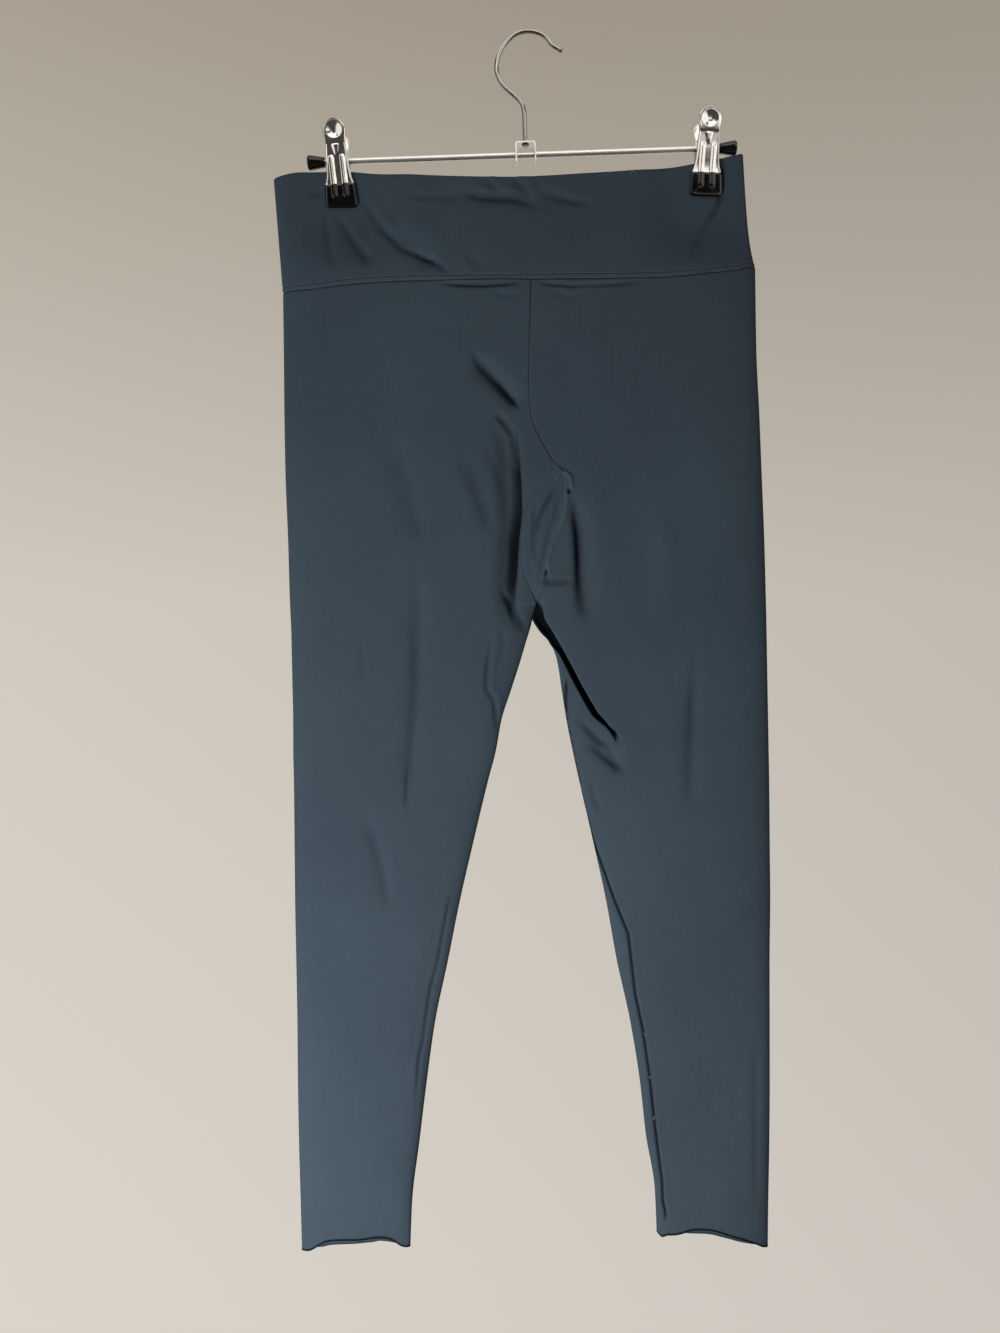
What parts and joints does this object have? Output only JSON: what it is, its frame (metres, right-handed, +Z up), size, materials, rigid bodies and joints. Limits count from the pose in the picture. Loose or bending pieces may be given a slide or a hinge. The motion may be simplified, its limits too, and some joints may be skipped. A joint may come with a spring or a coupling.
{
  "type": "leggings on a clip hanger",
  "caption": "Slim knit leggings with a wide doubled waistband, a crotch gusset and raw-cut ankles, hung flat by the waist from a wire-hooked metal bar hanger with sprung clips.",
  "frame": {"origin": "inside top of the hook's crown, where a rail or peg carries the hanger", "axes": "+Z up along the hanging garment, +X to the right as seen from the front, +Y from the front of the garment to its back"},
  "size_m": [0.4125, 0.026, 1.0109],
  "materials": {
    "knit_blue": "matt brushed jersey",
    "bright_steel": "polished",
    "black_vinyl": "dipped, glossy"
  },
  "bodies": {
    "root": {"waistband": "knit_blue", "leg_panel_left": "knit_blue", "leg_panel_right": "knit_blue", "gusset": "knit_blue", "hook": "bright_steel", "yoke": "bright_steel", "bar": "bright_steel", "end_cap_left": "black_vinyl", "end_cap_right": "black_vinyl", "clip_left_spring": "bright_steel", "clip_left_jaw_front": "bright_steel", "clip_left_jaw_back": "bright_steel", "clip_left_tip_front": "black_vinyl", "clip_left_tip_back": "black_vinyl", "clip_right_spring": "bright_steel", "clip_right_jaw_front": "bright_steel", "clip_right_jaw_back": "bright_steel", "clip_right_tip_front": "black_vinyl", "clip_right_tip_back": "black_vinyl"}
  },
  "joints": []
}
